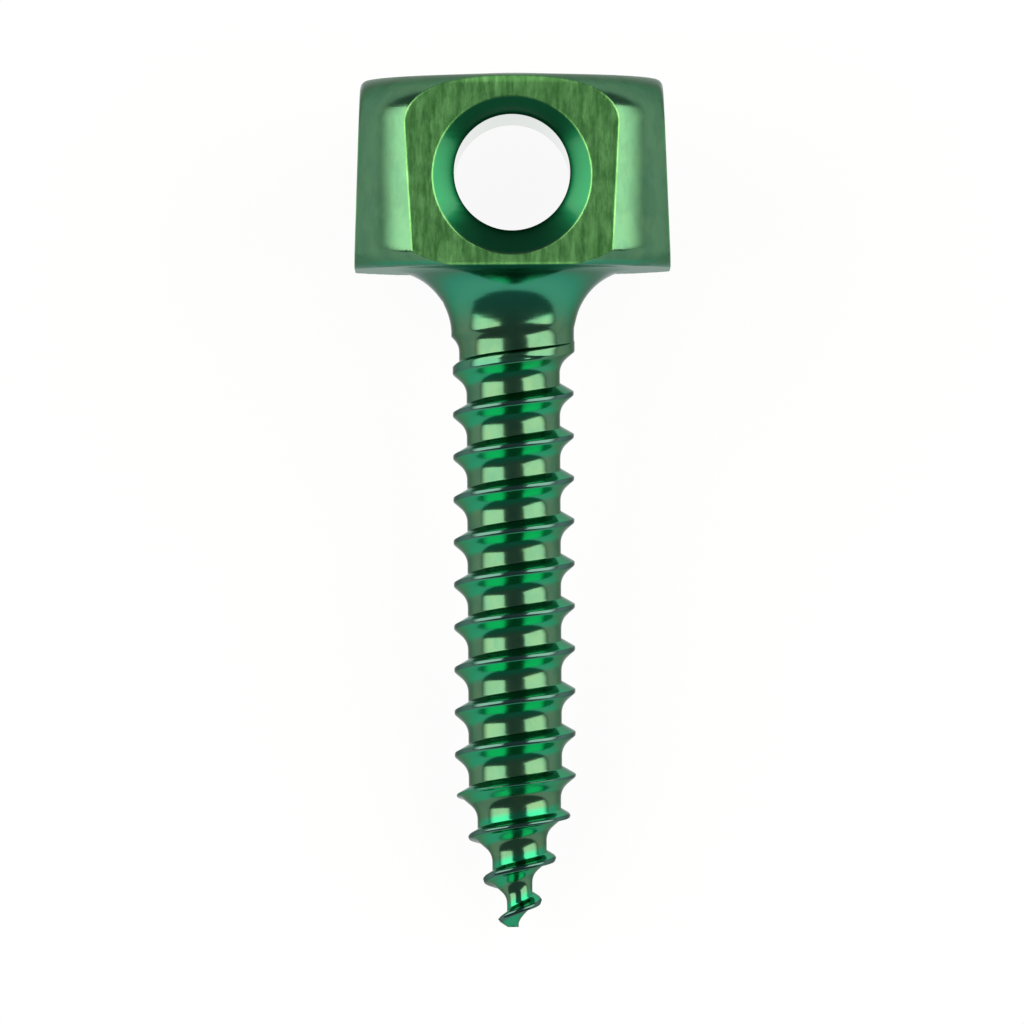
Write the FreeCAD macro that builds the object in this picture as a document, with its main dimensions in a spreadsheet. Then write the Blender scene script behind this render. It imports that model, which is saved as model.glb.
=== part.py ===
import FreeCAD, Part
import math
import os
import Sketcher

Vector = FreeCAD.Vector

# Bone anchor screw, one turned and milled piece, all lengths in millimetres.
# Own frame of the screw: Z runs along its axis from the tip at 0 up to the head, and the
# eye of the head runs along Y. The last step lays the finished screw down as it rests.
SIZES = {
    # head
    "head_diameter": 10.86,         # over the four turned corners
    "across_flats": 9.28,           # between opposite flats, where they meet the underside
    "flat_slope": 2.1,              # degrees by which each flat leans in towards the crown
    "head_height": 5.75,            # flat underside to the middle of the crown
    "crown_face": 2.0,              # flat middle of the crown, across
    "crown_slope": 3.0,             # degrees by which the rest of the crown falls outwards
    "shoulder_radius": 1.47,        # rounding from the crown into the corners
    "corner_chamfer_width": 0.5,    # chamfer under each corner, across
    "corner_chamfer_rise": 0.41,    # chamfer under each corner, along the axis
    "corner_chamfer_radius": 2.0,   # slight bulge of that chamfer
    # eye through the head
    "eye_diameter": 3.4,
    "eye_height": 2.73,             # axis of the eye above the underside
    "eye_mouth_diameter": 4.66,     # countersink where it meets the flat
    "eye_mouth_angle": 45.0,        # degrees between the countersink and its axis
    "eye_round": 0.3,               # rounding between the countersink and the bore
    # neck and shank
    "shank_length": 19.32,          # tip to underside
    "neck_diameter": 3.63,
    "neck_radius": 1.88,            # fillet under the head
    "neck_length": 3.23,            # underside to the full depth of the thread
    # thread
    "thread_diameter": 3.54,
    "core_diameter": 2.66,
    "thread_pitch": 1.25,
    "crest_width": 0.1,             # land on top of the thread
    "steep_flank": 0.33,            # its axial length, foot to crest
    "hollow_turn": 34.0,            # degrees through which the hollow flank curves
    "run_out_length": 1.3,          # over which the thread fades into the neck
    # tip
    "tip_length": 3.7,              # over which the core tapers
    "tip_angle": 19.0,              # half angle of the taper
    "tip_thread_depth": 0.42,       # crests of the taper above its core
    "tip_entry": 0.85,              # gentler turned band where the crests begin to taper
    "tip_diameter": 0.5,            # blunt end
    "tip_chamfer": 0.2,             # along the axis, from the blunt end up to the taper
    "tip_core_stop": 0.45,          # core of the tip where the thread groove runs out, across
}

OVERCUT = 0.3                       # by which every cutting outline stands outside the metal


def make_sheet(doc):
    """Spreadsheet with one named cell for each driving size."""
    sheet = doc.addObject("Spreadsheet::Sheet", "sizes")
    for row, (name, value) in enumerate(SIZES.items(), start=1):
        sheet.set(f"A{row}", name)
        sheet.set(f"B{row}", str(value))
        sheet.setAlias(f"B{row}", name)
    doc.recompute()
    return sheet


def origin_feature(body, role):
    """One of the body's own base planes or axes."""
    return next(item for item in body.Origin.OriginFeatures if item.Role == role)


def size(body, formula):
    """Value of a formula on the sheet's sizes."""
    return float(body.evalExpression(formula))


def make_outline(body, label, role, corners, arcs=None):
    """Closed sketch on a base plane through corners given as pairs of formulas.

    arcs maps the number of a side to the formula of its radius and to the side on which the
    arc bulges: 1 for the right of the way from its first corner to its second, -1 for the left.
    """
    sketch = body.newObject("Sketcher::SketchObject", label)
    sketch.AttachmentSupport = (origin_feature(body, role), [""])
    sketch.MapMode = "FlatFace"
    arcs = arcs or {}
    points = [Vector(size(body, across), size(body, along), 0) for across, along in corners]
    count = len(points)
    for side in range(count):
        start, end = points[side], points[(side + 1) % count]
        if side in arcs:
            radius = size(body, arcs[side][0])
            chord = end - start
            height = radius - math.sqrt(radius ** 2 - (chord.Length / 2) ** 2)
            outward = Vector(chord.y, -chord.x, 0).normalize() * arcs[side][1]
            middle = (start + end) / 2 + outward * height
            sketch.addGeometry(Part.Arc(start, middle, end), False)
        else:
            sketch.addGeometry(Part.LineSegment(start, end), False)
    for side, (across, along) in enumerate(corners):
        # an arc made clockwise is stored the other way round, so its ends are looked up
        end_number = 1 if sketch.getPoint(side, 1).isEqual(points[side], 1e-6) else 2
        for kind, formula in (("DistanceX", across), ("DistanceY", along)):
            value = size(body, formula)
            name = f"{label}_{side}_{kind[-1].lower()}"
            if abs(value) < 1e-9 and formula == "0":
                axis = -2 if kind == "DistanceX" else -1
                sketch.addConstraint(Sketcher.Constraint("PointOnObject", side, end_number, axis))
                continue
            number = sketch.addConstraint(
                Sketcher.Constraint(kind, -1, 1, side, end_number, value))
            sketch.renameConstraint(number, name)
            sketch.setExpression(f"Constraints.{name}", formula)
    for side in range(count):
        following = (side + 1) % count
        meet = points[following]
        last = 2 if sketch.getPoint(side, 2).isEqual(meet, 1e-6) else 1
        first = 1 if sketch.getPoint(following, 1).isEqual(meet, 1e-6) else 2
        sketch.addConstraint(Sketcher.Constraint("Coincident", side, last, following, first))
    for side, (formula, _) in arcs.items():
        number = sketch.addConstraint(
            Sketcher.Constraint("Radius", side, size(body, formula)))
        name = f"{label}_{side}_radius"
        sketch.renameConstraint(number, name)
        sketch.setExpression(f"Constraints.{name}", formula)
    return sketch


def turn_blank(doc, body):
    """Turned blank: crown, corners, underside, neck, shank and tapered tip."""
    corner = "sizes.head_diameter / 2"
    neck = "sizes.neck_diameter / 2"
    thread = "sizes.thread_diameter / 2"
    underside = "sizes.shank_length"
    crown = "sizes.shank_length + sizes.head_height"
    # the shoulder's arc runs on from the sloping crown and ends on the corner
    shoulder_start = f"({corner} - sizes.shoulder_radius * (1 - sin(sizes.crown_slope)))"
    shoulder_top = f"({crown} - ({shoulder_start} - sizes.crown_face / 2) * tan(sizes.crown_slope))"
    shoulder_end = f"{shoulder_top} - sizes.shoulder_radius * cos(sizes.crown_slope)"
    neck_end = "sizes.shank_length - sizes.neck_length + sizes.run_out_length / 2"
    taper_crest = "sizes.core_diameter / 2 + sizes.tip_thread_depth"
    entry_drop = "sizes.tip_entry / 2 * tan(sizes.tip_angle)"
    tip_drop = "(sizes.tip_length - sizes.tip_chamfer) * tan(sizes.tip_angle)"
    corners = [
        ("0", crown),
        ("sizes.crown_face / 2", crown),
        (shoulder_start, shoulder_top),
        (corner, shoulder_end),
        (corner, f"{underside} + sizes.corner_chamfer_rise"),
        (f"{corner} - sizes.corner_chamfer_width", underside),
        (f"{neck} + sizes.neck_radius", underside),
        (neck, f"{underside} - sizes.neck_radius"),
        (neck, neck_end),
        (thread, f"{neck_end} - ({neck} - {thread})"),
        (thread, "sizes.tip_length + sizes.tip_entry / 2"),
        (f"{taper_crest} - {entry_drop}", "sizes.tip_length - sizes.tip_entry / 2"),
        (f"{taper_crest} - {tip_drop}", "sizes.tip_chamfer"),
        ("sizes.tip_diameter / 2", "0"),
        ("0", "0"),
    ]
    arcs = {
        2: ("sizes.shoulder_radius", -1),
        4: ("sizes.corner_chamfer_radius", -1),
        6: ("sizes.neck_radius", 1),
    }
    sketch = make_outline(body, "blank_profile", "YZ_Plane", corners, arcs)
    blank = body.newObject("PartDesign::Revolution", "turned_blank")
    blank.Profile = sketch
    blank.ReferenceAxis = (sketch, ["V_Axis"])
    blank.Angle = 360
    doc.recompute()
    return blank


def mill_flats(doc, body):
    """Four flats round the head, each leaning in a little towards the crown."""
    low = "sizes.shank_length"
    high = "sizes.shank_length + sizes.head_height"
    half_flats = "sizes.across_flats / 2"
    outside = f"sizes.head_diameter / 2 + {OVERCUT}"

    def flat_at(height):
        return f"{half_flats} - ({height} - {low}) * tan(sizes.flat_slope)"

    corners = [
        (flat_at(f"({low} - {OVERCUT})"), f"{low} - {OVERCUT}"),
        (outside, f"{low} - {OVERCUT}"),
        (outside, f"{high} + {OVERCUT}"),
        (flat_at(f"({high} + {OVERCUT})"), f"{high} + {OVERCUT}"),
    ]
    sketch = make_outline(body, "flat_profile", "XZ_Plane", corners)
    flat = body.newObject("PartDesign::Pocket", "flat")
    flat.Profile = sketch
    flat.Midplane = True
    flat.setExpression("Length", f"sizes.head_diameter + {2 * OVERCUT}")
    doc.recompute()
    flats = body.newObject("PartDesign::PolarPattern", "flats")
    flats.Originals = [flat]
    flats.Axis = (origin_feature(body, "Z_Axis"), [""])
    flats.Angle = 360
    flats.Occurrences = 4
    body.Tip = flats
    doc.recompute()
    return flats


def bore_eye(doc, body):
    """Cross bore of the head, countersunk from both of its flats and rounded inside."""
    axis_height = "sizes.shank_length + sizes.eye_height"
    bore = "sizes.eye_diameter / 2"
    mouth = "sizes.eye_mouth_diameter / 2"
    face = "sizes.across_flats / 2 - sizes.eye_height * tan(sizes.flat_slope)"
    sink = f"({mouth} - {bore}) / tan(sizes.eye_mouth_angle)"
    outside = f"{face} + {OVERCUT}"
    wide = f"{mouth} + {OVERCUT} * tan(sizes.eye_mouth_angle)"
    # the rounding starts this far from the corner between countersink and bore
    start = "sizes.eye_round * tan(sizes.eye_mouth_angle / 2)"
    bore_end = f"({face} - {sink} - {start})"
    sink_end = f"({face} - {sink} + {start} * cos(sizes.eye_mouth_angle))"
    sink_rise = f"{bore} + {start} * sin(sizes.eye_mouth_angle)"
    corners = [
        (f"-({outside})", axis_height),
        (f"-({outside})", f"{axis_height} + {wide}"),
        (f"-{sink_end}", f"{axis_height} + {sink_rise}"),
        (f"-{bore_end}", f"{axis_height} + {bore}"),
        (bore_end, f"{axis_height} + {bore}"),
        (sink_end, f"{axis_height} + {sink_rise}"),
        (outside, f"{axis_height} + {wide}"),
        (outside, axis_height),
    ]
    arcs = {2: ("sizes.eye_round", 1), 4: ("sizes.eye_round", 1)}
    sketch = make_outline(body, "eye_profile", "YZ_Plane", corners, arcs)
    eye = body.newObject("PartDesign::Groove", "eye")
    eye.Profile = sketch
    eye.ReferenceAxis = (sketch, [f"Edge{len(corners)}"])
    eye.Angle = 360
    doc.recompute()
    return eye


def thread_profile(body, label, height, radius):
    """Section of the thread groove: a steep flank and a long hollow flank.

    The two meet on the core, at the given height and radius.
    """
    depth = "(sizes.thread_diameter - sizes.core_diameter) / 2"
    hollow = "(sizes.thread_pitch - sizes.crest_width - sizes.steep_flank)"
    hollow_radius = f"sqrt({hollow} ^ 2 + {depth} ^ 2) / (2 * sin(sizes.hollow_turn / 2))"
    crest = f"{radius} + {depth}"
    corners = [
        (f"{crest} + {OVERCUT}", f"{height} - sizes.steep_flank"),
        (crest, f"{height} - sizes.steep_flank"),
        (radius, height),
        (crest, f"{height} + {hollow}"),
        (f"{crest} + {OVERCUT}", f"{height} + {hollow}"),
    ]
    return make_outline(body, label, "XZ_Plane", corners, {2: (hollow_radius, -1)})


def cut_helix(doc, body, label, profile, length, angle, downwards):
    """Groove that follows a right-hand helix, on a cone where angle isn't 0."""
    groove = body.newObject("PartDesign::SubtractiveHelix", label)
    groove.Profile = profile
    groove.ReferenceAxis = (profile, ["V_Axis"])
    groove.Mode = "pitch-height-angle"
    groove.LeftHanded = False
    groove.Reversed = downwards
    groove.setExpression("Pitch", "sizes.thread_pitch")
    groove.setExpression("Height", length)
    groove.setExpression("Angle", angle)
    doc.recompute()
    return groove


def cut_thread(doc, body):
    """Thread: fading out of the neck, at full depth along the shank, tapering at the tip."""
    core = "sizes.core_diameter / 2"
    full_length = "(sizes.shank_length - sizes.neck_length - sizes.tip_length)"
    top = f"sizes.tip_length + {full_length}"
    fade = "atan((sizes.neck_diameter - sizes.core_diameter) / 2 / sizes.run_out_length)"
    run_out = thread_profile(body, "run_out_groove", top, core)
    cut_helix(doc, body, "run_out", run_out, "sizes.run_out_length", fade, False)
    shank = thread_profile(body, "shank_groove", top, core)
    cut_helix(doc, body, "shank_thread", shank, full_length, "0", True)
    # the groove of the tip starts where that of the shank ends, part of a turn further on
    tip = thread_profile(body, "tip_groove", "sizes.tip_length", core)
    tip.AttachmentOffset = FreeCAD.Placement(Vector(), FreeCAD.Rotation(Vector(0, 1, 0), 1))
    tip.setExpression("AttachmentOffset.Rotation.Angle",
                      f"(1 - mod({full_length}; sizes.thread_pitch) / sizes.thread_pitch) * 360")
    tip_run = "(sizes.core_diameter - sizes.tip_core_stop) / 2 / tan(sizes.tip_angle)"
    return cut_helix(doc, body, "tip_thread", tip, tip_run, "-sizes.tip_angle", True)


def lay_down(body):
    """Place the screw as it rests: on the lower edge of a flat and on one thread crest."""
    half_flats = size(body, "sizes.across_flats / 2")
    underside = size(body, "sizes.shank_length")
    points = body.Shape.tessellate(0.01)[0]
    tilt = min(math.atan2(half_flats - point.y, underside - point.z)
               for point in points if point.z < underside)
    turn = FreeCAD.Rotation(Vector(1, 0, 0), math.degrees(tilt) - 90)
    laid = [turn.multVec(point) for point in points]
    middle = [(min(values) + max(values)) / 2
              for values in ([point.x for point in laid], [point.y for point in laid])]
    lowest = min(point.z for point in laid)
    body.Placement = FreeCAD.Placement(Vector(-middle[0], -middle[1], -lowest), turn)
    return math.degrees(tilt)


def check_document(doc):
    """Stop on any object that failed to rebuild."""
    for item in doc.Objects:
        if "Invalid" in item.State or "Error" in item.State:
            raise RuntimeError(f"{item.Label} failed: {item.State}")


def main():
    os.makedirs("parts", exist_ok=True)
    doc = FreeCAD.newDocument("bone_anchor_screw")
    make_sheet(doc)
    body = doc.addObject("PartDesign::Body", "anchor_screw")
    body.Label = "anchor_screw"
    turn_blank(doc, body)
    mill_flats(doc, body)
    bore_eye(doc, body)
    cut_thread(doc, body)
    tilt = lay_down(body)
    doc.recompute()
    check_document(doc)
    shape = body.Shape
    if shape.isNull() or not shape.isValid() or len(shape.Solids) != 1:
        raise RuntimeError("the screw is not one valid solid")
    shape.exportStep(f"parts/{body.Label}.step")
    solid = shape.Solids[0]
    print(f"tilt {tilt:.3f} degrees, volume {solid.Volume:.2f} mm3")
    print(f"placed at {body.Placement.Base}, centre of mass {solid.CenterOfMass}")


main()
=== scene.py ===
import math

import bpy
import numpy as np
from mathutils import Matrix, Vector


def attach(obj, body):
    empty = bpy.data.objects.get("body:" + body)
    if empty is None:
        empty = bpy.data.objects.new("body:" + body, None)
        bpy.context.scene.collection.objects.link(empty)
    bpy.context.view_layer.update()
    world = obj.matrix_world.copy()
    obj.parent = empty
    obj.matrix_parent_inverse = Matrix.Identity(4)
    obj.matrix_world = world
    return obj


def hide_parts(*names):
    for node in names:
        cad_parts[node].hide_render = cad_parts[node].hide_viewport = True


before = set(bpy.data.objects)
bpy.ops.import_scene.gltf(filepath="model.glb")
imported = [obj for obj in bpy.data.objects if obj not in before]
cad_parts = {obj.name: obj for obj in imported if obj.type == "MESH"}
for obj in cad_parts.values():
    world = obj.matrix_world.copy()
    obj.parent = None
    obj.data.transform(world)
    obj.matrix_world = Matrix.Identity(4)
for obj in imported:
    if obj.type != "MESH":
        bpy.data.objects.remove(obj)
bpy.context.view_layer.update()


# Screw: one bar of titanium, turned all over, milled to four flats on the head, cross bored,
# threaded with a single-point tool and anodised green. Its own frame, in millimetres, has the
# tip at the origin, the axis along Z, the eye along Y and a flat of the head to the right, +X.
HEAD_RADIUS = 5.47                          # turned corners of the head
CROWN = 25.09                               # height of the crown's middle
CROWN_FACE = 1.0                            # radius of the crown's flat face
CROWN_SLOPE = math.radians(3.0)             # fall of the shallow cone round that face
CROWN_RING = 3.78                           # ring on that cone where the four quarters end
SHOULDER = 1.47                             # rounding from the crown into the corners
UNDERSIDE = 19.32                           # height of the head's underside
UNDERSIDE_RING = 4.3                        # ring on it where the four quarters end
HALF_FLATS = 4.64                           # from the axis to a flat, at the underside
FLAT_SLOPE = math.tan(math.radians(2.1))    # lean of the flats, inwards towards the crown
CHAMFER_WIDTH = 0.5                         # chamfer under the corners, across the axis
CHAMFER_RISE = 0.41                         # and along it
CHAMFER_RADIUS = 2.0                        # bulge of that chamfer
EDGE_ROUND = 0.04                           # rounding of the flats' edges
TOP_EDGE_ROUND = 0.22                       # and along the top of the plain flats
NECK = 1.815                                # radius of the neck
NECK_FILLET = 1.88                          # fillet from the neck into the underside
EYE_HEIGHT = 22.05                          # height of the cross bore's axis
EYE = 1.7                                   # radius of the bore
EYE_MOUTH = 2.33                            # radius of its countersink at the flat
EYE_RIM = 0.035                             # rounding of the countersink's outer edge
EYE_SINK = math.radians(51)                 # half its opening angle at the flat
EYE_SINK_INNER = math.radians(45)           # and at the bore
EYE_SINK_DEPTH = 0.54
EYE_ROUND = 0.07                            # rounding of its edge to the bore

THREAD = 1.78                               # radius over the thread
CORE = 1.375                                # radius of its root
PITCH = 1.25
FOOT = 15.97                                # height of a steep flank's foot on the +X side
STEEP = 0.225                               # axial length of the steep flank
ROOT_FLAT = 0.31                            # level length of the root
ROOT_HOLLOW = 0.576                         # radius of the arc that leads up from it
LONG_FLANK = math.radians(50)               # slope in which that arc ends
RUN_OUT = 1.3                               # length over which the root rises to the neck
NECK_END = 16.74                            # height at which the neck ends
TAPER_START = 3.7                           # height at which the blank begins to taper
TAPER_FOOT = 3.58                           # height of the flank's foot where the root does
TAPER = math.tan(math.radians(19.0))
TAPER_CREST = 1.76                          # radius of the blank's cone at TAPER_START
TAPER_ENTRY = 0.85                          # length of the gentle turn into that cone
TIP_CHAMFER = 0.2                           # height of the chamfer on the tip
TIP_RADIUS = 0.25                           # radius of its blunt end
LEAST_CORE = 0.05                           # least radius of the root near the tip


def arc(centre, radius, start, end, count=240):
    """Points (r, z) on a circle, from one angle in degrees to another, evenly spaced."""
    angle = np.radians(np.linspace(start, end, count))
    return np.stack([centre[0] + radius * np.cos(angle), centre[1] + radius * np.sin(angle)], 1)


def turned_outline():
    """Outline (r, z) of the turned head and neck, from the middle of the crown downwards.

    A flat face and a shallow cone make the crown. An arc leads from it into the corners, which
    are a cylinder down to a bulging chamfer. The underside is flat and its fillet ends on the
    neck.
    """
    shoulder_across = HEAD_RADIUS - SHOULDER * (1 - math.sin(CROWN_SLOPE))
    shoulder_top = CROWN - (shoulder_across - CROWN_FACE) * math.tan(CROWN_SLOPE)
    shoulder_centre = (HEAD_RADIUS - SHOULDER, shoulder_top - SHOULDER * math.cos(CROWN_SLOPE))
    chamfer_top = np.array([HEAD_RADIUS, UNDERSIDE + CHAMFER_RISE])
    chamfer_foot = np.array([HEAD_RADIUS - CHAMFER_WIDTH, UNDERSIDE])
    chord = chamfer_foot - chamfer_top
    length = math.hypot(*chord)
    inward = np.array([chord[1], -chord[0]]) / length
    middle = (chamfer_top + chamfer_foot) / 2
    chamfer_centre = middle + inward * math.sqrt(CHAMFER_RADIUS ** 2 - (length / 2) ** 2)
    angles = [math.degrees(math.atan2(*(point - chamfer_centre)[::-1]))
              for point in (chamfer_top, chamfer_foot)]
    parts = [
        [[0.0, CROWN], [CROWN_FACE, CROWN]],
        arc(shoulder_centre, SHOULDER, 90 - math.degrees(CROWN_SLOPE), 0),
        arc(chamfer_centre, CHAMFER_RADIUS, angles[0], angles[1]),
        arc((NECK + NECK_FILLET, UNDERSIDE - NECK_FILLET), NECK_FILLET, 90, 180),
        [[NECK, NECK_END]],
    ]
    return np.concatenate([np.asarray(part, float) for part in parts])


outline = turned_outline()
outline_length = np.r_[0, np.cumsum(np.hypot(*np.diff(outline, axis=0).T))]
chamfer_end = np.argmin(np.abs(outline[:, 1] - UNDERSIDE)
                        + np.abs(outline[:, 0] - HEAD_RADIUS + CHAMFER_WIDTH))
outer, under = slice(1, chamfer_end + 1), slice(chamfer_end, chamfer_end + 2)


def on_outline(along):
    """Radius and height of the turned outline at a distance along it."""
    return (np.interp(along, outline_length, outline[:, 0]),
            np.interp(along, outline_length, outline[:, 1]))


def along_at_height(height):
    """Distance along the outline where the head's outer part has that height."""
    return np.interp(-height, -outline[outer, 1], outline_length[outer])


def along_at_radius(radius):
    """Distance along the outline where the flat underside has that radius."""
    return np.interp(-radius, -outline[under, 0], outline_length[under])


def flat_distance(height):
    """Distance of a leaning flat from the screw's axis at a height."""
    return HALF_FLATS - (height - UNDERSIDE) * FLAT_SLOPE


def turned_point(azimuth, along):
    """Point of the turned head, with Y towards the middle of its flat and X across it."""
    radius, height = on_outline(along)
    return np.stack([radius * np.sin(azimuth), radius * np.cos(azimuth), height], -1)


def flat_point(across, height):
    """Point of the flat in the same directions."""
    return np.stack([across, flat_distance(height), height], -1)


def flat_edge(direction):
    """Edge of a flat as seen from the height of the eye, one point for each direction.

    Every point is found by halving the stretch between one that lies within the turned blank
    and one that doesn't, at first 7 mm out. Returns how far it lies across the flat and how high.
    """
    near = np.zeros_like(direction)
    far = np.full_like(direction, 7.0)
    for _ in range(48):
        middle = (near + far) / 2
        across = middle * np.cos(direction)
        height = EYE_HEIGHT + middle * np.sin(direction)
        limit = np.interp(-height, -outline[outer, 1], outline[outer, 0])
        inside = (height >= UNDERSIDE) & (height <= CROWN)
        inside &= np.hypot(across, flat_distance(height)) <= limit
        near = np.where(inside, middle, near)
        far = np.where(inside, far, middle)
    return near * np.cos(direction), EYE_HEIGHT + near * np.sin(direction)


def curve_between(start, corner, end, steps):
    """Rows of a quadratic curve that leaves start towards corner and arrives at end from it."""
    t = np.linspace(0, 1, steps)[:, None, None]
    return (1 - t) ** 2 * start + 2 * t * (1 - t) * corner + t ** 2 * end


def towards(start, end, shares):
    """Rows at the given shares of the straight way from start to end."""
    share = np.asarray(shares)[:, None, None]
    return start + (end - start) * share


# steps of one quarter of the head along its top, down each side and along its bottom
TOP_STEPS, SIDE_STEPS, BOTTOM_STEPS = 60, 60, 36
# the two rings as distances along the outline
RING_TOP = along_at_height(CROWN - (CROWN_RING - CROWN_FACE) * math.tan(CROWN_SLOPE))
RING_BOTTOM = along_at_radius(UNDERSIDE_RING)


def quarter_border():
    """Border of one quarter of the turned head round its flat, clockwise from the top left.

    Its sides are a ring on the crown, the middle of one corner, a ring on the underside and
    the middle of the next corner. Returns azimuth from the flat's middle and distance along
    the outline.
    """
    eighth = math.pi / 4
    top = np.linspace(-eighth, eighth, TOP_STEPS + 1)[:-1]
    bottom = np.linspace(eighth, -eighth, BOTTOM_STEPS + 1)[:-1]
    down = np.linspace(RING_TOP, RING_BOTTOM, SIDE_STEPS + 1)
    azimuth = np.concatenate([top, np.full(SIDE_STEPS, eighth),
                              bottom, np.full(SIDE_STEPS, -eighth)])
    along = np.concatenate([np.full(TOP_STEPS, RING_TOP), down[:-1],
                            np.full(BOTTOM_STEPS, RING_BOTTOM), down[:0:-1]])
    return azimuth, along


def eye_rows(direction, mouth, on_flat):
    """Rows of points from the flat into the eye, one column for each direction from its axis.

    The countersink starts as a cone and bends a little steeper towards the bore, on a quadratic
    curve between the two slopes. Both its edges are rounded, and the bore goes on to the middle
    of the head.
    """
    def in_eye(radius, depth):
        """Point on a circle about the axis of the eye, at a distance from the screw's axis."""
        return np.stack([radius * np.cos(direction), depth + 0 * direction,
                         EYE_HEIGHT + radius * np.sin(direction)], -1)

    mouth_depth = flat_distance(EYE_HEIGHT + mouth * np.sin(direction))
    cone = in_eye(mouth - EYE_RIM * math.sin(EYE_SINK), mouth_depth - EYE_RIM * math.cos(EYE_SINK))
    rows = list(curve_between(on_flat(mouth + EYE_RIM), on_flat(mouth), cone, 4))
    face = flat_distance(EYE_HEIGHT)
    corner_depth = face - EYE_SINK_DEPTH
    tangent = EYE_ROUND * math.tan(EYE_SINK_INNER / 2)
    foot_radius = EYE + tangent * math.sin(EYE_SINK_INNER)
    foot_depth = corner_depth + tangent * math.cos(EYE_SINK_INNER)
    inward, drop = EYE_MOUTH - foot_radius, face - foot_depth
    # the curve's corner is where the two slopes meet, and it begins a good third of the way there
    meeting = inward * math.cos(EYE_SINK_INNER) - drop * math.sin(EYE_SINK_INNER)
    meeting = meeting / math.sin(EYE_SINK - EYE_SINK_INNER)
    begin = 0.35 * meeting
    bend_start = in_eye(EYE_MOUTH - begin * math.sin(EYE_SINK), face - begin * math.cos(EYE_SINK))
    bend = in_eye(EYE_MOUTH - meeting * math.sin(EYE_SINK), face - meeting * math.cos(EYE_SINK))
    rows += list(towards(cone, bend_start, (0.3, 0.7)))
    rows += list(curve_between(bend_start, bend, in_eye(foot_radius, foot_depth), 6))
    rows += [in_eye(EYE + EYE_ROUND * (1 - math.cos(angle)),
                    corner_depth - tangent + EYE_ROUND * math.sin(angle))
             for angle in np.linspace(EYE_SINK_INNER, 0, 5)[1:]]
    bore_start = corner_depth - tangent
    return rows + [in_eye(EYE, bore_start * share) for share in (0.97, 0.8, 0.6, 0.4, 0.2, 0.0)]


def head_quarter(top_round, eye):
    """Rows of points over one quarter of the head, from its border in to the eye or the middle.

    The turned surface runs from the border up to the edge of the flat, a small curve rounds
    that edge, and the flat goes on inwards. With an eye the rows go on down its countersink,
    whose mouth is wider where the leaning flat stands further out, and along the bore.
    """
    azimuth, along = quarter_border()
    border = turned_point(azimuth, along)
    direction = np.arctan2(border[:, 2] - EYE_HEIGHT, border[:, 0])
    across, height = flat_edge(direction)
    distance = np.hypot(across, height - EYE_HEIGHT)
    edge_azimuth = np.arctan2(across, flat_distance(height))
    edge_along = np.where(height > UNDERSIDE + 1e-6, along_at_height(height),
                          along_at_radius(np.hypot(across, flat_distance(height))))
    edge = flat_point(across, height)
    # a rounding that is wider along the top is blended in over the flat's upper corners
    up = np.clip((height - EYE_HEIGHT - 1.0) / 1.2, 0, 1)
    width = EDGE_ROUND + (top_round - EDGE_ROUND) * up * up * (3 - 2 * up)
    gap = np.hypot((azimuth - edge_azimuth) * HEAD_RADIUS, along - edge_along)

    def on_turned(share):
        """Points of the turned surface at a share of the way from the edge to the border."""
        return turned_point(edge_azimuth + (azimuth - edge_azimuth) * share,
                            edge_along + (along - edge_along) * share)

    def on_flat(reach):
        """Points of the flat at a distance from the axis of the eye, towards the edge."""
        share = reach / distance
        return flat_point(across * share, EYE_HEIGHT + (height - EYE_HEIGHT) * share)

    last = 1.7 * width / gap
    rows = [border] + [on_turned(last + (1 - last) * share)
                       for share in (0.8, 0.61, 0.44, 0.29, 0.16, 0.06, 0.0)]
    rows += list(curve_between(on_turned(width / gap), edge, on_flat(distance - width), 6))
    inner = distance - 1.6 * width
    rows += [on_flat(inner)]
    if not eye:
        rows += [on_flat(inner * share) for share in (0.92, 0.75, 0.5, 0.25, 0.0)]
        return np.stack(rows)
    mouth = EYE_MOUTH / (1 + np.sin(direction) * FLAT_SLOPE * math.tan(EYE_SINK))
    outer_rim = mouth + 2.2 * EYE_RIM
    rows += [on_flat(outer_rim + (inner - outer_rim) * share) for share in (0.75, 0.5, 0.25, 0.0)]
    return np.stack(rows + eye_rows(direction, mouth, on_flat))


def smooth_least(first, second, width):
    """The lesser of two values, eased where they come within the width of each other.

    There a quarter of the width is taken off, times the square of how near they are.
    """
    ease = np.maximum(width - np.abs(first - second), 0) / width
    return np.minimum(first, second) - ease * ease * width / 4


def flank_height(offset):
    """Height of the thread's section above its core at an axial offset from the flank's foot.

    Below the foot, towards the tip, lies the steep flank. Above it the root starts level, bends
    up on an arc and leaves it straight as the long flank.
    """
    bend = ROOT_HOLLOW * math.sin(LONG_FLANK)
    rise = ROOT_HOLLOW - ROOT_HOLLOW * math.cos(LONG_FLANK)
    into = np.clip(offset - ROOT_FLAT, 0, bend)
    long_flank = ROOT_HOLLOW - np.sqrt(ROOT_HOLLOW ** 2 - into ** 2)
    beyond = (offset - ROOT_FLAT - bend) * math.tan(LONG_FLANK)
    long_flank = np.where(beyond > 0, rise + beyond, long_flank)
    steep_flank = -offset * (THREAD - CORE) / STEEP
    return -smooth_least(-long_flank, -steep_flank, 0.05)


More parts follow.
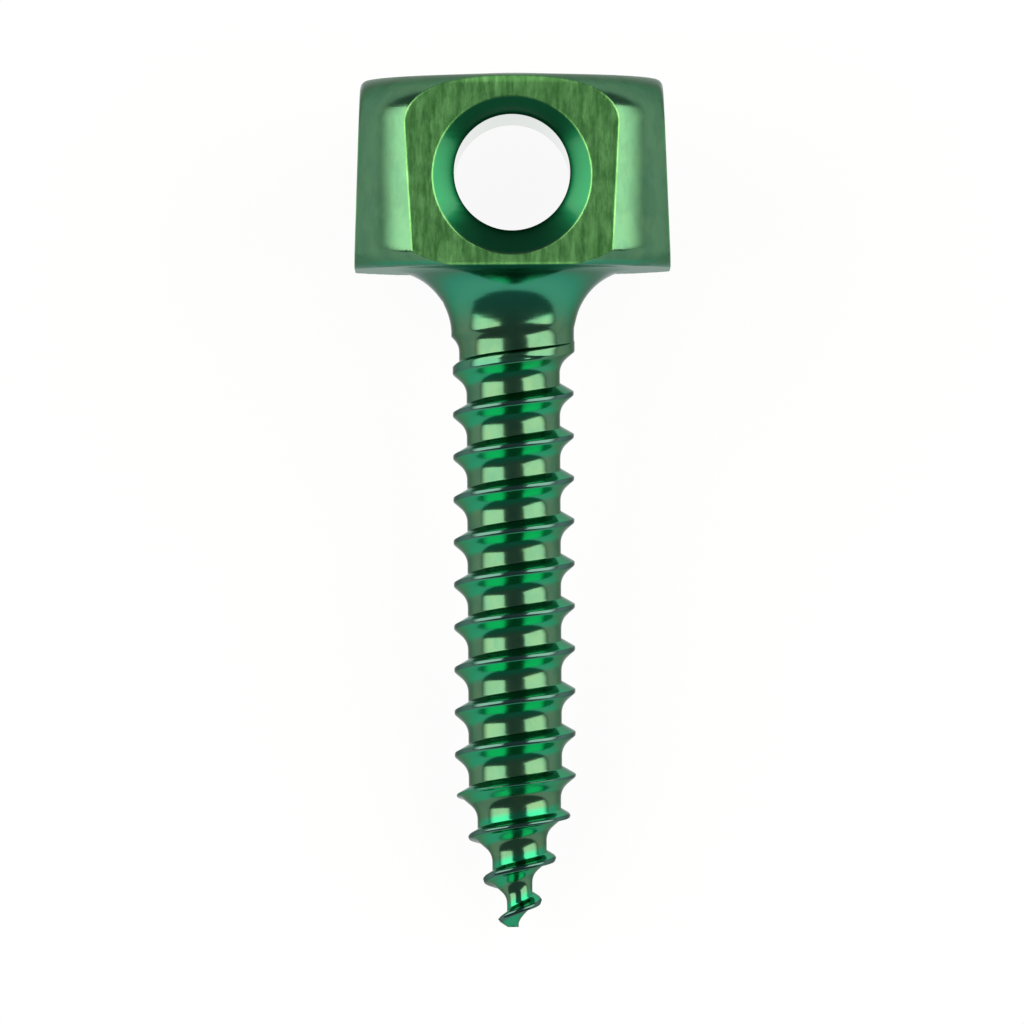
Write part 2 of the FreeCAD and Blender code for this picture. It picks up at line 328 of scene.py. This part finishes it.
def blank_radius(height):
    """Radius of the turned blank under the head, before the thread is cut.

    The fillet's arc leads into the neck, and a short cone from there to the thread's radius.
    Near the tip a cone that starts on a gentle turn is taken off, and a chamfer ends it.
    """
    drop = height - UNDERSIDE + NECK_FILLET
    fillet = NECK + NECK_FILLET - np.sqrt(np.maximum(NECK_FILLET ** 2 - drop ** 2, 0))
    shank = THREAD + np.clip(height - NECK_END + NECK - THREAD, 0, NECK - THREAD)
    entry = np.clip(TAPER_START - height + TAPER_ENTRY / 2, 0, TAPER_ENTRY) / TAPER_ENTRY
    gentle = entry * (THREAD - TAPER_CREST + TAPER_ENTRY / 2 * TAPER)
    cone = np.maximum(TAPER_START - TAPER_ENTRY / 2 - height, 0) * TAPER
    blank = np.where(height > UNDERSIDE - NECK_FILLET, fillet, shank) - gentle - cone
    chamfer_top = TAPER_CREST - (TAPER_START - TIP_CHAMFER) * TAPER
    chamfer = TIP_RADIUS + height / TIP_CHAMFER * (chamfer_top - TIP_RADIUS)
    return smooth_least(blank, chamfer, 0.06)


def shank_radius(height, offset):
    """Radius of the neck, shank and tip at a height and at an offset from the flank's foot.

    The thread's groove is taken out of the turned blank. Its root rises to the neck's radius
    over the run-out and falls towards the tip in a helix on a cone.
    """
    taper = np.maximum(TAPER_FOOT - height + offset, 0) * TAPER
    core = CORE - taper + np.clip((height - offset - FOOT) / RUN_OUT, 0, 2) * (NECK - CORE)
    groove = np.maximum(core, LEAST_CORE) + flank_height(offset)
    return smooth_least(blank_radius(height), groove, 0.024)


def around_axis(radius, height, azimuth):
    """Points at a radius from the screw's axis and a height, with a column for each azimuth."""
    places = np.broadcast_arrays(radius * np.cos(azimuth), radius * np.sin(azimuth), height)
    return np.stack(places, -1)


def shank_rows(azimuth):
    """Rows of points down the neck, along the thread and over the tip, one column per azimuth.

    The rows of the thread follow its helix, so that its edges lie on them. Where they would
    pass a level ring in the fillet or near the tip they are held on that ring.
    """
    high, low = 18.4, 0.24
    below_foot = 0.28
    offsets = np.array([-below_foot, -0.25, -0.235, -0.218, -0.19, -0.13, -0.06, -0.03,
                        -0.01, 0.01, 0.035, 0.07, 0.14, 0.22, 0.3, 0.38,
                        0.46, 0.54, 0.62, 0.7, 0.78, 0.86, 0.905, 0.935])
    turns = np.arange(2, -16, -1)
    helix = FOOT + PITCH * azimuth / (2 * math.pi)
    offset = np.tile(offsets[::-1], len(turns))
    turn = np.repeat(turns, len(offsets))
    height = helix + turn[:, None] * PITCH + offset[:, None]

    def at_level(level):
        """Points on the screw at these heights, each by its offset from the foot in its turn."""
        phase = (level - helix + below_foot) % PITCH - below_foot
        return around_axis(shank_radius(level, phase), level, azimuth)

    last = math.degrees(math.asin((high - UNDERSIDE + NECK_FILLET) / NECK_FILLET))
    angle = np.radians(np.linspace(90, last, 15))[:-1, None]
    fillet = around_axis(NECK + NECK_FILLET - NECK_FILLET * np.cos(angle),
                         UNDERSIDE - NECK_FILLET + NECK_FILLET * np.sin(angle), azimuth)
    levels = np.array([low, 0.16, 0.09, 0.04, 0.012, 0.0])[:, None] + 0 * azimuth
    tip = at_level(levels)
    end = tip[-1] * np.array([0.6, 0.0])[:, None, None]
    return np.concatenate([fillet, at_level(high + 0 * azimuth[None, :]),
                           at_level(np.clip(height, low, high)), tip, end])


def grid_faces(rows, first, closed):
    """Corner numbers of the quads between the rows of a grid whose points start at first."""
    count, columns = rows.shape[:2]
    number = first + np.arange(count * columns).reshape(count, columns)
    if closed:
        number = np.concatenate([number, number[:, :1]], 1)
    corners = [number[:-1, :-1], number[1:, :-1], number[1:, 1:], number[:-1, 1:]]
    return np.stack(corners, -1).reshape(-1, 4)


def weld(points, quads):
    """Joins points that share a place, and turns quads with two joined corners into triangles.

    Points share a place where all three coordinates round to the same step. The steps are odd
    ones, so that no level of the mesh falls halfway between two of them.
    """
    steps_to_the_millimetre = 9876.54321
    keys, number = np.unique(np.round(points * steps_to_the_millimetre).astype(np.int64),
                             axis=0, return_inverse=True)
    first = np.full(len(keys), -1)
    first[number[::-1]] = np.arange(len(points))[::-1]
    quads = number.reshape(-1)[quads]
    same = quads == np.roll(quads, -1, 1)
    whole = quads[~same.any(1)]
    joined_once = same.sum(1) == 1
    triangles = [np.delete(quads[joined_once & same[:, corner]], corner, 1) for corner in range(4)]
    return points[first], [whole] + triangles


def turn_to_flat(rows, flat):
    """Rows of a quarter turned to the flat with that number, counted from the one at +X."""
    angle = flat * math.pi / 2
    outward = np.array([math.cos(angle), math.sin(angle), 0])
    across = np.array([-math.sin(angle), math.cos(angle), 0])
    return rows[..., :1] * across + rows[..., 1:2] * outward + rows[..., 2:] * np.array([0, 0, 1.0])


def crown_rows():
    """Rows of points over the crown, from the ring round it in to its middle."""
    azimuth = np.arange(4 * TOP_STEPS, 0, -1) / (4 * TOP_STEPS) * 2 * math.pi - math.pi / 4
    along = np.append(RING_TOP * np.array([1, 0.9, 0.75, 0.55, 0.35]),
                      [CROWN_FACE, CROWN_FACE * 0.5, 0])
    radius, height = on_outline(along)
    return around_axis(radius[:, None], height[:, None], azimuth)


def underside_rows(azimuth):
    """Rows of points on the flat underside, from the ring on it in to the neck's fillet."""
    radius = np.array([UNDERSIDE_RING, 4.1, 3.9, 3.75])
    return around_axis(radius[:, None], UNDERSIDE, azimuth)


shank_azimuth = np.arange(4 * BOTTOM_STEPS + 1) / (4 * BOTTOM_STEPS) * 2 * math.pi - math.pi / 4
grids = [turn_to_flat(head_quarter(TOP_EDGE_ROUND, False), flat) for flat in (0, 2)]
grids += [turn_to_flat(head_quarter(EDGE_ROUND, True), flat) for flat in (1, 3)]
grids += [crown_rows(), np.concatenate([underside_rows(shank_azimuth), shank_rows(shank_azimuth)])]
# the shank's first and last columns are one line, on which the helix is a turn further along
closed = [True] * 5 + [False]
points, quads, start = [], [], 0
for rows, is_closed in zip(grids, closed):
    points.append(rows.reshape(-1, 3))
    quads.append(grid_faces(rows, start, is_closed))
    start += rows.shape[0] * rows.shape[1]
points, faces = weld(np.concatenate(points), np.concatenate(quads))

# it lies on the lower edge of one flat and on a crest near the tip, as the CAD solid does
TILT = math.radians(10.707)
lay = np.array([[1, 0, 0], [0, math.sin(TILT), math.cos(TILT)], [0, -math.cos(TILT), math.sin(TILT)]])
shift = np.array([0, -12.59697, 0.96965])
placed = (points @ lay.T + shift) / 1000

screw_mesh = bpy.data.meshes.new("screw")
screw_mesh.from_pydata(placed.tolist(), [], [face for part in faces for face in part.tolist()])
screw_mesh.validate()
screw_mesh.polygons.foreach_set("use_smooth", [True] * len(screw_mesh.polygons))
screw = bpy.data.objects.new("screw", screw_mesh)
bpy.context.scene.collection.objects.link(screw)
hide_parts("anchor_screw")
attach(screw, "root")


class Socket:
    """A shader output that can be used in Python expressions, each operator adding a node."""

    def __init__(self, tree, output=None):
        self.tree = tree
        self.output = output

    def node(self, kind, output=0, settings=None, **inputs):
        """An output of a new node, with its settings and the values or links of its sockets.

        A socket is named by its label, with _ for a blank, or by _ and its number.
        """
        made = self.tree.nodes.new(kind)
        for name, value in (settings or {}).items():
            setattr(made, name, value)
        for name, value in inputs.items():
            key = int(name[1:]) if name[0] == "_" else name.replace("_", " ")
            if isinstance(value, Socket):
                self.tree.links.new(value.output, made.inputs[key])
            else:
                made.inputs[key].default_value = value
        return Socket(self.tree, made.outputs[output]) if made.outputs else None

    def also(self, output):
        """Another output of the same node."""
        return Socket(self.tree, self.output.node.outputs[output])

    def maths(self, operation, *others):
        """Result of a Math node on this value and the others."""
        values = {f"_{number}": value for number, value in enumerate((self, *others))}
        return self.node("ShaderNodeMath", settings={"operation": operation}, **values)

    def __add__(self, other):
        return self.maths("ADD", other)

    def __mul__(self, other):
        return self.maths("MULTIPLY", other)

    def __sub__(self, other):
        return self.maths("SUBTRACT", other)

    def __rsub__(self, other):
        return self * -1 + other

    __radd__ = __add__
    __rmul__ = __mul__


def emptied_tree(owner):
    """The emptied shader tree of a material, a lamp or the world, as a start for its nodes."""
    owner.use_nodes = True
    owner.node_tree.nodes.clear()
    return Socket(owner.node_tree)


def noise(place, scale, detail, stretch=(1, 1, 1), roughness=0.5):
    """Value from 0 to 1 of a soft random pattern, so many to the millimetre and stretched."""
    spread = place.node("ShaderNodeVectorMath", 0, {"operation": "MULTIPLY"}, _0=place, _1=stretch)
    return place.node("ShaderNodeTexNoise", "Fac", Vector=spread, Scale=scale, Detail=detail,
                      Roughness=roughness)


def blend(factor, first, second):
    """Colour between two colours by a factor."""
    return factor.node("ShaderNodeMix", 2, {"data_type": "RGBA"}, _0=factor, _6=first, _7=second)


def ramp(value, low, high):
    """Smooth step from 0 at low to 1 at high."""
    return value.node("ShaderNodeMapRange", "Result", {"interpolation_type": "SMOOTHSTEP"},
                      Value=value, From_Min=low, From_Max=high)


COOL_FILM, WARM_FILM = (0.05, 0.165, 0.10, 1), (0.095, 0.18, 0.08, 1)
HEAD_FILM, WIPED_FILM = (0.075, 0.215, 0.105, 1), (0.035, 0.12, 0.065, 1)
# painted light: the steep flanks' colour, the second below, is a lighter green that stands in for their
# highlight
FLANK_FILM, STEEP_FLANK_PAINTED_LIGHT = (0.012, 0.27, 0.125, 1), (0.03, 0.44, 0.22, 1)
# painted shade: the crests' colour, the second below, is a darker, duller green that dims their highlight
FILLET_FILM, CREST_PAINTED_SHADE = (0.03, 0.25, 0.15, 1), (0.05, 0.125, 0.10, 1)
EYE_FILM, BORE_FILM = (0.008, 0.15, 0.055, 1), (0.01, 0.16, 0.06, 1)
MILLED_DARK, MILLED_LIGHT = (0.07, 0.24, 0.06, 1), (0.20, 0.50, 0.17, 1)
GRAZING_TINT = (0.20, 0.27, 0.26, 1)
THREAD_TOP = (16.2, 16.9)                   # heights over which the thread's shades fade out
CROWN_EDGE = (24.6, 24.85)                  # heights over which the head turns into its crown

anodised = bpy.data.materials.new("anodised_titanium")
tree = emptied_tree(anodised)
place = tree.node("ShaderNodeTexCoord", "Object")
# the screw's own frame again, in millimetres
own = tree.node("ShaderNodeMapping", "Vector", {"vector_type": "POINT"}, Vector=place,
                Rotation=(math.pi / 2 - TILT, 0, 0), Scale=(1000, 1000, 1000),
                Location=tuple(-lay.T @ shift))
across = tree.node("ShaderNodeSeparateXYZ", "X", Vector=own)
forward, up = across.also("Y"), across.also("Z")
beside, ahead = across.maths("ABSOLUTE"), forward.maths("ABSOLUTE")

# masks from 0 to 1 for the parts of the screw, made from a point's distances in millimetres
leaning = HALF_FLATS - (up - UNDERSIDE) * FLAT_SLOPE
on_flat = ramp(beside.maths("MAXIMUM", ahead) - leaning, -0.04, -0.003)
on_flat = on_flat * up.maths("GREATER_THAN", UNDERSIDE + 0.01)
from_eye = (across * across + (up - EYE_HEIGHT) * (up - EYE_HEIGHT)).maths("SQRT")
in_eye = 1.0 - ramp(from_eye, EYE_MOUTH + 0.02, EYE_MOUTH + 0.05)
in_bore = in_eye * (1.0 - ramp(from_eye, EYE + 0.004, EYE + 0.02))
on_face = ramp(up, UNDERSIDE - 0.15, UNDERSIDE - 0.03)
on_face = on_face * (1.0 - ramp(up, UNDERSIDE + 0.02, UNDERSIDE + 0.1))
on_face = on_face.maths("MAXIMUM", ramp(up, *CROWN_EDGE))
from_axis = (across * across + forward * forward).maths("SQRT")
above_core = from_axis - (CORE - (TAPER_FOOT + 0.3 - up).maths("MAXIMUM", 0.0) * TAPER)
on_thread = 1.0 - ramp(up, *THREAD_TOP)
on_flank = ramp(above_core, 0.0, 0.07) * on_thread
on_crest = ramp(above_core, 0.35, 0.40) * on_thread
on_fillet = ramp(up, 17.5, 18.9) * (1.0 - ramp(up, UNDERSIDE, UNDERSIDE + 0.2))
# normals that face the head pick out the steep flanks for their painted highlight
painted_light_facing_head = tree.node("ShaderNodeVectorMath", "Value", {"operation": "DOT_PRODUCT"},
                        _0=place.also("Normal"), _1=(0, math.cos(TILT), math.sin(TILT)))
painted_light_facing_head = ramp(painted_light_facing_head, 0.3, 0.8)

# the cutter left fine upright marks on the flats, and turning left rings everywhere else
marks = noise(own, 7.0, 4.0, (1.0, 1.0, 0.16), 0.65)
specks = noise(own, 4.2, 3.0, (1.0, 1.0, 0.45), 0.7)
mottle = noise(own, 0.9, 3.0)
rings = noise(own, 7.0, 2.0, (0.04, 0.04, 1.0))
stain = noise(own, 2.6, 2.0)
wipe = noise(own, 1.7, 5.0, (1.0, 1.0, 0.6), 0.62)
relief = rings * 0.25 + (marks * 1.2 - rings * 0.25) * on_flat
bump = tree.node("ShaderNodeBump", "Normal", Strength=0.4, Distance=0.00002, Height=relief)
roughness = 0.13 + stain * 0.1 + on_flat * (0.14 + marks * 0.12) + on_face * 0.3
roughness = roughness + in_eye * (1.0 - on_flat) * 0.12

# the film's shade drifts from cool to warm. It is deeper green on the flanks, in the fillet and
# in the eye, and streaked dark and light on the milled flats. Light and shade are painted in too:
# a lighter green on the steep flanks that face the head is a painted highlight, and a darker,
# duller green on the crests is painted shade that dims their highlight
shade = (mottle - 0.5) * 1.1 + (stain - 0.5) * 0.9
film = blend(shade + 0.5, COOL_FILM, WARM_FILM)
film = blend(ramp(up, UNDERSIDE, UNDERSIDE + 0.1) * 0.6, film, HEAD_FILM)
film = blend(ramp(wipe, 0.42, 0.62) * 0.35, film, WIPED_FILM)
film = blend(on_flank.maths("MAXIMUM", on_fillet * 0.8), film, FLANK_FILM)
film = blend(on_fillet, film, FILLET_FILM)
# painted highlight: the steep flanks that face the head are painted a lighter green
film = blend(on_flank * painted_light_facing_head, film, STEEP_FLANK_PAINTED_LIGHT)
# painted shade: the crests are painted a darker, duller green to dim their highlight
film = blend(on_crest, film, CREST_PAINTED_SHADE)
film = blend(in_eye, film, EYE_FILM)
milled = blend(ramp(marks * 0.55 + specks * 0.45, 0.33, 0.70), MILLED_DARK, MILLED_LIGHT)
metal = tree.node("ShaderNodeBsdfPrincipled", "BSDF", Base_Color=blend(on_flat, film, milled),
                  Metallic=1.0, Roughness=roughness, Specular_Tint=GRAZING_TINT,
                  Coat_Weight=0.3, Coat_Roughness=0.12, Coat_IOR=1.5, Normal=bump)
polished = tree.node("ShaderNodeBsdfPrincipled", "BSDF", Base_Color=BORE_FILM, Metallic=1.0,
                     Roughness=0.04, Specular_Tint=(1, 1, 1, 1))
whole = tree.node("ShaderNodeMixShader", "Shader", _0=in_bore, _1=metal, _2=polished)
tree.node("ShaderNodeOutputMaterial", Surface=whole)
screw_mesh.materials.append(anodised)


# Ground and light: a pale floor that carries on out of view, and two long soft boxes, one on
# each side of the camera and dimmer towards the floor, as a photographer lights a shiny part.
FLOOR_HALF = 3.0                            # metres, as all lengths of the floor and lamps
PAPER_GLOW = 0.93                           # share of the seen floor that is plain white
BOX_DISTANCE = 0.14
BOX_MIDDLE = math.radians(57)               # angle from overhead down to a box's middle
BOX_WIDTH = 0.166
BOX_LENGTH = 0.175
BOX_SHIFT = 0.014                           # along the screw, towards its head
BOX_AIM = 0.002                             # height of the point that both boxes face
BOX_BRIGHTNESS = 3.6
BOX_COLOUR = (1.0, 0.94, 0.84)
BOX_FADE = (0.004, 0.05)                    # heights over which a box grows bright
ROOM_COLOUR = (0.72, 0.94, 1, 1)
ROOM_BRIGHTNESS = 0.2

floor_mesh = bpy.data.meshes.new("floor")
floor_mesh.from_pydata([(-FLOOR_HALF, -FLOOR_HALF, 0), (FLOOR_HALF, -FLOOR_HALF, 0),
                        (FLOOR_HALF, FLOOR_HALF, 0), (-FLOOR_HALF, FLOOR_HALF, 0)], [], [(0, 1, 2, 3)])
floor = bpy.data.objects.new("floor", floor_mesh)
bpy.context.scene.collection.objects.link(floor)
paper = bpy.data.materials.new("white_paper")
tree = emptied_tree(paper)
seen = tree.node("ShaderNodeLightPath", "Is Camera Ray")
seen = seen.maths("MAXIMUM", seen.also("Is Glossy Ray")).maths("MAXIMUM", seen.also("Is Transmission Ray"))
matt = tree.node("ShaderNodeBsdfPrincipled", "BSDF", Base_Color=(0.9, 0.9, 0.9, 1), Roughness=1.0,
                 Specular_IOR_Level=0.0)
white = tree.node("ShaderNodeEmission", "Emission", Color=(1, 1, 1, 1), Strength=1.0)
mixed = tree.node("ShaderNodeMixShader", "Shader", _0=seen * PAPER_GLOW, _1=matt, _2=white)
tree.node("ShaderNodeOutputMaterial", Surface=mixed)
floor_mesh.materials.append(paper)


def soft_box(name, place, target):
    """A rectangular lamp at a place, facing a target, dimmer where it comes near the floor."""
    lamp = bpy.data.lights.new(name, "AREA")
    lamp.shape = "RECTANGLE"
    lamp.size, lamp.size_y = BOX_WIDTH, BOX_LENGTH
    lamp.energy = BOX_BRIGHTNESS * BOX_WIDTH * BOX_LENGTH * math.pi
    lamp.color = BOX_COLOUR
    tree = emptied_tree(lamp)
    spot = tree.node("ShaderNodeNewGeometry", "Position")
    fade = ramp(tree.node("ShaderNodeSeparateXYZ", "Z", Vector=spot), *BOX_FADE)
    tree.node("ShaderNodeOutputLight", Surface=tree.node("ShaderNodeEmission", Strength=fade))
    box = bpy.data.objects.new(name, lamp)
    bpy.context.scene.collection.objects.link(box)
    box.location = place
    box.rotation_euler = (Vector(target) - Vector(place)).to_track_quat("-Z", "Y").to_euler()


for side, name in ((-1, "left box"), (1, "right box")):
    soft_box(name, (side * BOX_DISTANCE * math.sin(BOX_MIDDLE), BOX_SHIFT,
                    BOX_DISTANCE * math.cos(BOX_MIDDLE) + BOX_AIM), (0, BOX_SHIFT, BOX_AIM))
world = bpy.data.worlds.new("room")
tree = emptied_tree(world)
room = tree.node("ShaderNodeBackground", Color=ROOM_COLOUR, Strength=ROOM_BRIGHTNESS)
tree.node("ShaderNodeOutputWorld", Surface=room)
bpy.context.scene.world = world
bpy.context.scene.view_settings.view_transform = "Standard"


# Camera: a long lens that looks almost straight down along the bore, with the head at the top
# of the picture, as the photograph looks at the standing screw from just below.
PIXELS = 34.0                               # of the photograph to the millimetre
PICTURE_HEIGHT = 1024 / PIXELS
TIP_ROW = 927                               # pixel row of the tip in the photograph
PICTURE_MIDDLE = (TIP_ROW - 512) / PIXELS
CAMERA_DISTANCE = 590.0                     # millimetres
SENSOR = 36.0
LOOK_UP = math.radians(1.3)                 # from level, towards the head
LEAN = math.radians(-0.33)                  # of the picture about the line of sight
ASIDE = -0.057                              # from the axis to the picture's middle

own_view = Vector((0, math.cos(LOOK_UP), math.sin(LOOK_UP)))
own_up = Vector((0, -math.sin(LOOK_UP), math.cos(LOOK_UP)))
own_right = own_view.cross(own_up)
leaned = Matrix.Rotation(-LEAN, 3, own_view)
own_up, own_right = leaned @ own_up, leaned @ own_right
own_target = Vector((ASIDE, 0, PICTURE_MIDDLE))
to_world = Matrix(lay.tolist())
target = to_world @ own_target + Vector(shift.tolist())
back = to_world @ -own_view
camera_data = bpy.data.cameras.new("camera")
camera_data.sensor_width = SENSOR
camera_data.lens = SENSOR * CAMERA_DISTANCE / PICTURE_HEIGHT
camera_data.clip_end = 10
camera = bpy.data.objects.new("camera", camera_data)
camera_axes = Matrix([to_world @ own_right, to_world @ own_up, back]).transposed()
camera_place = Matrix.Translation((target + back * CAMERA_DISTANCE) / 1000)
camera.matrix_world = camera_place @ camera_axes.to_4x4()
bpy.context.scene.collection.objects.link(camera)
bpy.context.scene.camera = camera
